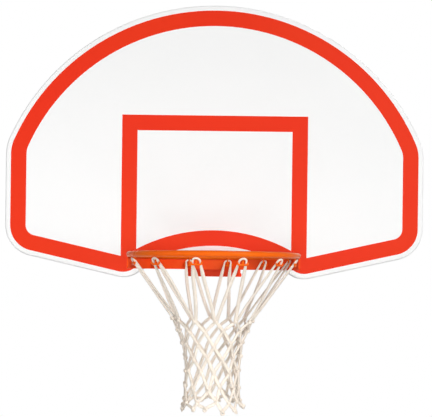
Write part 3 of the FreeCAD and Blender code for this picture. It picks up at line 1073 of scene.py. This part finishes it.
@dataclass(frozen=True)
class KnotShape:
    """The form of the wraps that tie the knots, and of the end tips.

    A wrap has its turns over its rise along the net, each turn slanted, and its ends are tucked in
    to a share of the width that grows at the given rate. The first row's wraps have their own size.
    Tips have the least and most width, length and lean, and at the knot a narrower neck.
    """

    section: Section = braid(0.0026, 0.0020, 10)
    half_width: float = 0.0046
    first_size: float = 1.15
    turns: float = 1.7
    rise: float = 0.0052
    slant: float = 0.0018
    tuck: float = 0.45
    tuck_growth: float = 4.0
    points: int = 44
    tip_least: Triple = (0.0038, 0.0062, -0.7)
    tip_most: Triple = (0.0056, 0.0098, 0.7)
    tip_neck: float = 0.6
    tip_points: int = 40


@dataclass
class Net:
    """The cord net: twelve loops on the hooks, and a knotted tube of crossing cords below.

    Attributes:
        cord: Finish of the cord.
        hooks: The hooks, one to each loop and to each knot in a row.
        hook_radius: Distance of the hooks from the ring's axis.
        hook_height: Height of the hooks' bars.
        rows: Height and radius of each row of knots, from the first row to the end tips.
        tail_row: Number of the row below which the net follows the tail alone; not used.
        loop: Form of the loops.
        strand: Form of the crossing cords.
        knot: Form of the knots and tips.
        sway: How far a knot may lie from its even place: round, out and up.
        tail_sway: How much further the last row's knots may lie, as a share.
        seed: Start of the random places.
    """

    cord: CordFinish = CordFinish(
        "braided_cord", (0.985, 0.935, 0.85), (0.83, 0.65, 0.495), (0.86, 0.73, 0.6))
    hooks: HookRing = HookRing()
    hook_radius: float = 0.2302
    hook_height: float = -0.3437
    rows: tuple[Span, ...] = (
        (-0.4968, 0.1135), (-0.5243, 0.099), (-0.5628, 0.0865), (-0.6003, 0.0785),
        (-0.6378, 0.0755), (-0.6813, 0.0755), (-0.7203, 0.081), (-0.7378, 0.088))
    tail_row: int = 3
    loop: LoopShape = LoopShape()
    strand: StrandShape = StrandShape()
    knot: KnotShape = KnotShape()
    sway: Triple = (0.0035, 0.002, 0.0035)
    tail_sway: float = 1.2
    seed: int = 7

    def __post_init__(self) -> None:
        """Works out the even and the real places of the knots."""
        self.axis = ALONG_Y * ring_middle()
        self.random = np.random.default_rng(self.seed)
        heights, radii = np.array(self.rows).T
        row = np.arange(len(self.rows))
        self.angles = self.hooks.angles((row[:, None] % 2) / 2)
        self.out = on_ring(self.angles)
        self.side = np.cross(UP, self.out)
        self.even = self.axis + self.out * radii[:, None, None] + UP * heights[:, None, None]
        growth = 1 + self.tail_sway * (row / row[-1]) ** 2
        shift = self.random.uniform(-1, 1, (3, *self.angles.shape, 1)) * growth[:, None, None]
        shift = shift * np.array(self.sway).reshape(3, 1, 1, 1)
        self.knots = self.even + self.side * shift[0] + self.out * shift[1] + UP * shift[2]
        fall, spread = np.gradient(heights), np.gradient(radii)
        slope = np.hypot(fall, spread)
        self.down = self.out * (spread / slope)[:, None, None] + UP * (fall / slope)[:, None, None]
        self.face = self.out * (-fall / slope)[:, None, None] + UP * (spread / slope)[:, None, None]

    def _loop_path(self) -> tuple[np.ndarray, np.ndarray, np.ndarray]:
        """One loop on a hook at the ring's +X side, about the ring's axis.

        The loop is a flat hairpin: its plane passes over the hook's bar, one seat away, and through
        the even places of the first two knots. Its bend goes behind the stem, and each leg leaves
        the bend along the tangent that ends at its knot.

        Returns:
            The points, the plane's normal, and the share of the way down a leg at each point,
            negative on the leg towards -Y.
        """
        loop = self.loop
        half_step = math.pi / self.hooks.count
        height, radius = self.rows[0]
        knot = np.array((radius * math.cos(half_step), radius * math.sin(half_step), height))
        bar = np.array((self.hook_radius, 0.0, self.hook_height))
        seat = loop.bar_radius + loop.section.half_height + loop.room
        fall = knot - bar
        fall[1] = 0.0
        reach = math.sqrt(fall @ fall - seat**2)
        down = unit(fall * reach + np.array((-fall[2], 0.0, fall[0])) * seat)
        lift = np.array((down[2], 0.0, -down[0]))
        past_stem = self.hooks.stem_radius + loop.section.half_width * loop.hook_width + loop.room
        behind = (seat * abs(lift[0]) + past_stem) / abs(down[0])
        middle = loop.bend_radius - behind
        end = knot[1] - loop.knot_gap
        run = reach - middle
        spread = math.atan2(end, run) - math.asin(loop.bend_radius / math.hypot(end, run))
        turn = np.linspace(-math.pi / 2 - spread, math.pi / 2 + spread, loop.bend_points)
        bend_across = loop.bend_radius * np.sin(turn)
        bend_down = middle - loop.bend_radius * np.cos(turn)
        share = np.linspace(1 / loop.leg_points, 1.0, loop.leg_points)
        leg_across = bend_across[-1] + (end - bend_across[-1]) * share
        leg_down = bend_down[-1] + (reach - bend_down[-1]) * share
        flat_across = np.concatenate([-leg_across[::-1], bend_across, leg_across])
        flat_down = np.concatenate([leg_down[::-1], bend_down, leg_down])
        points = bar + lift * seat + flat_across[:, None] * ALONG_Y + flat_down[:, None] * down
        shares = np.concatenate([-share[::-1], np.zeros(len(turn)), share])
        return points, lift, shares

    def _loops(self) -> Surface:
        """The twelve loops: the hairpin turned to each hook, then drawn to the real knots.

        Each leg also bows by a sine of its length, one and two half waves.

        Returns:
            The loops as one surface.
        """
        path, lift, shares = self._loop_path()
        way = np.abs(shares)
        out = on_ring(self.hooks.angles(0.5))
        side = np.cross(UP, out)
        turns = np.stack([out, side, np.broadcast_to(UP, out.shape)], axis=-1)
        paths = np.einsum("hij,pj->hpi", turns, path) + self.axis
        normals = np.broadcast_to((turns @ lift)[:, None], paths.shape)
        left = self.knots[0] - self.even[0]
        right = np.roll(left, -1, axis=0)
        drawn = np.where((shares < 0)[None, :, None], left[:, None], right[:, None])
        paths = paths + drawn * ease(way)[None, :, None]
        bows = self.random.uniform(-1, 1, (2, self.hooks.count, 2))
        bows = bows * np.array(self.loop.bows).reshape(2, 1, 1)
        leg = (shares > 0).astype(int)
        waves = np.sin(math.pi * way), np.sin(TURN * way)
        bow = sum(size[:, leg] * wave for size, wave in zip(bows, waves))
        paths = paths + bow[..., None] * side[:, None]
        narrow = self.loop.hook_width
        widen = narrow + (1 - narrow) * ease(way / self.loop.widening)
        return self.loop.section.sweep(paths, normals, widen=widen)

    @staticmethod
    def _through(points: np.ndarray, samples: int) -> np.ndarray:
        """Smooth curves through points: cubic pieces whose slopes are the mean of their neighbours.

        Args:
            points: Points of each curve, as curves by points by three.
            samples: Points on each piece.

        Returns:
            Points along the curves.
        """
        slopes = np.gradient(points, axis=1)
        t = np.arange(samples)[:, None] / samples
        start, end = points[:, :-1, None], points[:, 1:, None]
        leave, arrive = slopes[:, :-1, None], slopes[:, 1:, None]
        curve = (1 + 2 * t) * (1 - t) ** 2 * start + t * (1 - t) ** 2 * leave
        curve = curve + t**2 * (3 - 2 * t) * end + t**2 * (t - 1) * arrive
        return np.concatenate([curve.reshape(len(points), -1, 3), points[:, -1:]], axis=1)

    def _strands(self, lay: Lay) -> Surface:
        """Twelve cords of one lay, each through one knot of every row.

        At a knot the two lays pass each other, one outside and one inside, by a power of the
        cosine of the way from row to row, and the cords are squeezed there.

        Args:
            lay: Which way the cords wind.

        Returns:
            The cords as one surface.
        """
        row = np.arange(len(self.rows))
        shift = row // 2 if lay is Lay.RIGHT else -((row + 1) // 2)
        steps = (np.arange(self.hooks.count)[:, None] + shift) % self.hooks.count
        strand = self.strand
        paths = self._through(self.knots[row, steps], strand.points)
        way = np.arange(paths.shape[1]) / strand.points
        near = np.cos(math.pi * way) ** strand.sharpness
        out = unit((paths - self.axis) * (ALONG_X + ALONG_Y))
        paths = paths + out * (lay.value * strand.offset * near)[:, None]
        smaller, narrower = strand.squeeze
        return strand.section.sweep(paths, out, 1 - smaller * near, 1 - narrower * near)

    def _wraps(self) -> Surface:
        """The cord that ties each knot: a slanting coil round the two crossing cords.

        A point is knot + side * width * cos(turn) + face * width * sin(turn), moved along the net
        by the coil's rise and by a slant of cos(turn). Both ends go into the knot.

        Returns:
            The wraps as one surface.
        """
        knot = self.knot
        share = np.linspace(0.0, 1.0, knot.points)
        turn = TURN * knot.turns * share
        parity = np.indices(self.angles.shape).sum(axis=0) % 2
        hand = np.where(parity == 0, 1.0, -1.0)[..., None, None]
        tuck = np.minimum(1.0, knot.tuck + knot.tuck_growth * np.minimum(share, 1 - share))
        cos, sin = (np.cos(turn) * tuck)[:, None], (np.sin(turn) * tuck)[:, None]
        rise = (knot.rise * (share - 0.5))[:, None]
        side, face, down = (v[:, :, None] for v in (self.side, self.face, self.down))
        sizes = np.ones(len(self.rows))
        sizes[0] = knot.first_size
        width = knot.half_width * sizes[:, None, None, None]
        round_knot = side * cos * hand + face * sin
        paths = self.knots[:, :, None] + round_knot * width + down * (rise + knot.slant * cos)
        shape = (-1, knot.points, 3)
        return knot.section.sweep(paths.reshape(shape), round_knot.reshape(shape))

    def _tips(self) -> Surface:
        """The end loops of the cord under the last knots, like drops of different size and lean.

        A point is knot + side * width * sin(turn) * (neck + (1 - neck) * sin(half turn)) + (down +
        lean * side) * length * the square of sin(half turn).

        Returns:
            The tips as one surface.
        """
        knot = self.knot
        share = np.linspace(0.0, 1.0, knot.tip_points)[:, None]
        wave = np.sin(math.pi * share)
        side, face, down = (v[-1][:, None] for v in (self.side, self.face, self.down))
        drops = self.random.uniform(knot.tip_least, knot.tip_most, (self.hooks.count, 3))
        width, length, lean = drops.T[:, :, None, None]
        swing = np.sin(TURN * share) * (knot.tip_neck + (1 - knot.tip_neck) * wave)
        paths = self.knots[-1][:, None] + side * width * swing
        paths = paths + (down + side * lean) * length * wave**2
        return knot.section.sweep(paths, np.broadcast_to(face, paths.shape))

    def build(self, effects: Effects) -> None:
        """Makes the net's loops, strands and knots, and hides the CAD net's pieces.

        Args:
            effects: The shared effects.
        """
        cord = self.cord.material(effects)
        loops = self._loops().place("net_loops", cord, Slot.CORD)
        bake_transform(loops)
        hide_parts("net_upper")
        tube = Surface.joined([self._strands(lay) for lay in Lay])
        strands = tube.place("net_strands", cord, Slot.CORD)
        ties = Surface.joined([self._wraps(), self._tips()])
        knots = ties.place("net_knots", cord, Slot.CORD)
        for piece in (strands, knots):
            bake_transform(piece)
        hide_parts("net_lower")
        for piece in (loops, strands, knots):
            LOG.info("made %s with %d faces", piece.name, len(piece.data.polygons))


@dataclass
class Studio:
    """Plain soft light, white surroundings, a pale floor far below, and the camera.

    Attributes:
        key, key_power, key_angle: Way to the main light, its strength, and its width in degrees.
        rear, rear_power, rear_angle: The same for the light behind.
        ambient: Strength of the light from all round.
        boxes: Place, width, height and power of the soft boxes in front.
        hoop_height: Height of the ring's top above the floor.
        floor_radius, floor_grid: The floor's radius, and its rings and points on a ring.
        floor_fade: Distances from the middle where the floor starts to fade and is gone.
        floor_tones, floor_grain: Two colours of the floor, and the scale and detail of their grain.
        floor_bounce: Colour of the floor for the light that it throws back.
        floor_roughness: Roughness of the floor.
        camera_place, lens, shift: The camera's place, focal length in millimetres and shift.
        roll: Turn of the camera about its own axis, in degrees.
    """

    key: Way = (0.5, -0.72, 0.48)
    key_power: float = 1.35
    key_angle: float = 14.0
    rear: Way = (0.35, 0.8, 0.5)
    rear_power: float = 2.7
    rear_angle: float = 20.0
    ambient: float = 0.07
    boxes: tuple[tuple[Way, float, float, float], ...] = (
        ((0.0, -3.3, -0.6), 0.9, 0.9, 24.0),
        ((1.9, -2.7, -0.5), 0.9, 0.9, 17.0),
        ((-2.2, -1.9, -0.4), 0.9, 0.9, 16.0),
        ((0.0, -1.3, -1.3), 0.7, 0.5, 3.0),
        ((-0.7, -2.4, 0.6), 0.2, 0.6, 3.0),
        ((1.1, -2.2, 0.7), 0.2, 0.6, 4.0))
    hoop_height: float = 3.048
    floor_radius: float = 4.5
    floor_grid: tuple[int, int] = (24, 65)
    floor_fade: Span = (0.8, 4.05)
    floor_tones: tuple[Colour, Colour] = ((0.86, 0.86, 0.855), (0.9, 0.9, 0.9))
    floor_grain: Span = (4.0, 3.0)
    floor_bounce: Colour = (0.3, 0.3, 0.3)
    floor_roughness: float = 0.8
    camera_place: Way = (0.0, -2.7508, -0.3575)
    lens: float = 68.6
    shift: Span = (0.006, 0.1427)
    roll: float = -0.7

    @staticmethod
    def _aim(lamp: bpy.types.Object, way: Way | np.ndarray) -> None:
        """Turns a lamp so that its light comes from a direction."""
        lamp.rotation_euler = Vector(way).to_track_quat("Z", "Y").to_euler()

    def _sun(self, name: str, way: Way, power: float, angle: float) -> None:
        """Adds a broad sun.

        Args:
            name: The lamp's name.
            way: Direction from the object to the lamp.
            power: Its strength.
            angle: Its width in degrees.
        """
        data = bpy.data.lights.new(name, "SUN")
        data.energy = power
        data.angle = math.radians(angle)
        self._aim(add_object(name, data), way)

    def _soft_boxes(self) -> None:
        """Adds the soft boxes in front, turned to the hoop."""
        middle = ring_middle()
        for number, (place, width, height, power) in enumerate(self.boxes):
            data = bpy.data.lights.new(f"soft_box_{number}", "AREA")
            data.shape = "RECTANGLE"
            data.size = width
            data.size_y = height
            data.energy = power
            lamp = add_object(data.name, data)
            lamp.location = place
            self._aim(lamp, place - middle)

    @staticmethod
    def _seen(sheet: NodeSheet) -> bpy.types.NodeSocket:
        """Tells the rays that show the surroundings to the camera, gloss or glass.

        Args:
            sheet: The tree that asks.

        Returns:
            One for such rays, else nought.
        """
        path = sheet.add("LightPath").outputs
        shown = sheet.math("MAXIMUM", path["Is Camera Ray"], path["Is Glossy Ray"])
        return sheet.math("MAXIMUM", shown, path["Is Transmission Ray"])

    def _world(self) -> None:
        """White surroundings that light the object only at the ambient strength."""
        world = bpy.data.worlds.new("white_room")
        world.use_nodes = True
        world.node_tree.nodes.clear()
        sheet = NodeSheet(world.node_tree)
        light = sheet.add("Background", {"Color": WHITE, "Strength": self.ambient})
        white = sheet.add("Background", {"Color": WHITE, "Strength": 1.0})
        mixed = sheet.add("MixShader", {0: self._seen(sheet), 1: light.outputs[0], 2: white.outputs[0]})
        sheet.add("OutputWorld", {"Surface": mixed.outputs[0]})
        bpy.context.scene.world = world

    def _floor(self) -> None:
        """A pale round floor at the goal's regular height, which fades into the white.

        A point is radius * (cos(turn), sin(turn)) at the floor's level.
        """
        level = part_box("goal_ring")[1].z - self.hoop_height
        rings, spokes = self.floor_grid
        radii = np.linspace(0.0, self.floor_radius, rings)[:, None, None]
        points = on_ring(np.linspace(0.0, TURN, spokes)) * radii + UP * level
        number = np.arange(rings * spokes).reshape(rings, spokes)
        quads = np.stack([number[:-1, :-1], number[1:, :-1], number[1:, 1:], number[:-1, 1:]], axis=-1)
        mesh = bpy.data.meshes.new("floor")
        mesh.from_pydata(points.reshape(-1, 3), [], quads.reshape(-1, 4).tolist())
        sheet, material = open_material("pale_floor")
        place = sheet.add("TexCoord").outputs["Object"]
        flat = sheet.add("VectorMath", {0: place, 1: (1.0, 1.0, 0.0)}, operation="MULTIPLY")
        away = sheet.add("VectorMath", {0: flat.outputs[0]}, operation="LENGTH").outputs["Value"]
        seen = self._seen(sheet)
        tone = sheet.blend(sheet.noise(place, *self.floor_grain), *self.floor_tones)
        tone = sheet.blend(seen, self.floor_bounce, tone)
        matt = sheet.add("BsdfPrincipled", {"Base Color": tone, "Roughness": self.floor_roughness})
        white = sheet.add("Emission", {"Color": WHITE, "Strength": 1.0})
        share = sheet.math("MULTIPLY", sheet.spread(away, *self.floor_fade), seen)
        mixed = sheet.add("MixShader", {0: share, 1: matt.outputs[0], 2: white.outputs[0]})
        close_material(sheet, mixed)
        mesh.materials.append(material)
        add_object("floor", mesh)

    def _camera(self) -> None:
        """A level camera in front of the hoop, shifted so that the board fills the frame."""
        data = bpy.data.cameras.new("camera")
        data.lens = self.lens
        data.shift_x, data.shift_y = self.shift
        camera = add_object("camera", data)
        camera.location = self.camera_place
        camera.rotation_euler = (math.pi / 2, math.radians(self.roll), 0.0)
        bpy.context.scene.camera = camera

    def build(self) -> None:
        """Sets up the lamps, the surroundings, the floor, the camera and the view transform."""
        self._sun("key_light", self.key, self.key_power, self.key_angle)
        self._sun("rear_light", self.rear, self.rear_power, self.rear_angle)
        self._soft_boxes()
        self._world()
        self._floor()
        self._camera()
        bpy.context.scene.view_settings.view_transform = "Standard"
        LOG.info("lit the scene")


def main() -> None:
    """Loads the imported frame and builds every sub-assembly around it."""
    logging.basicConfig(level=logging.INFO, format="%(name)s: %(message)s")
    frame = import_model()
    nodes = frame["nodes"]
    effects = Effects()
    Board().dress(nodes, effects)
    RearFrame().build(nodes, effects)
    Fasteners().build(nodes, effects)
    Goal().build(nodes, effects)
    Net().build(effects)
    Studio().build()


if __name__ == "__main__":
    main()
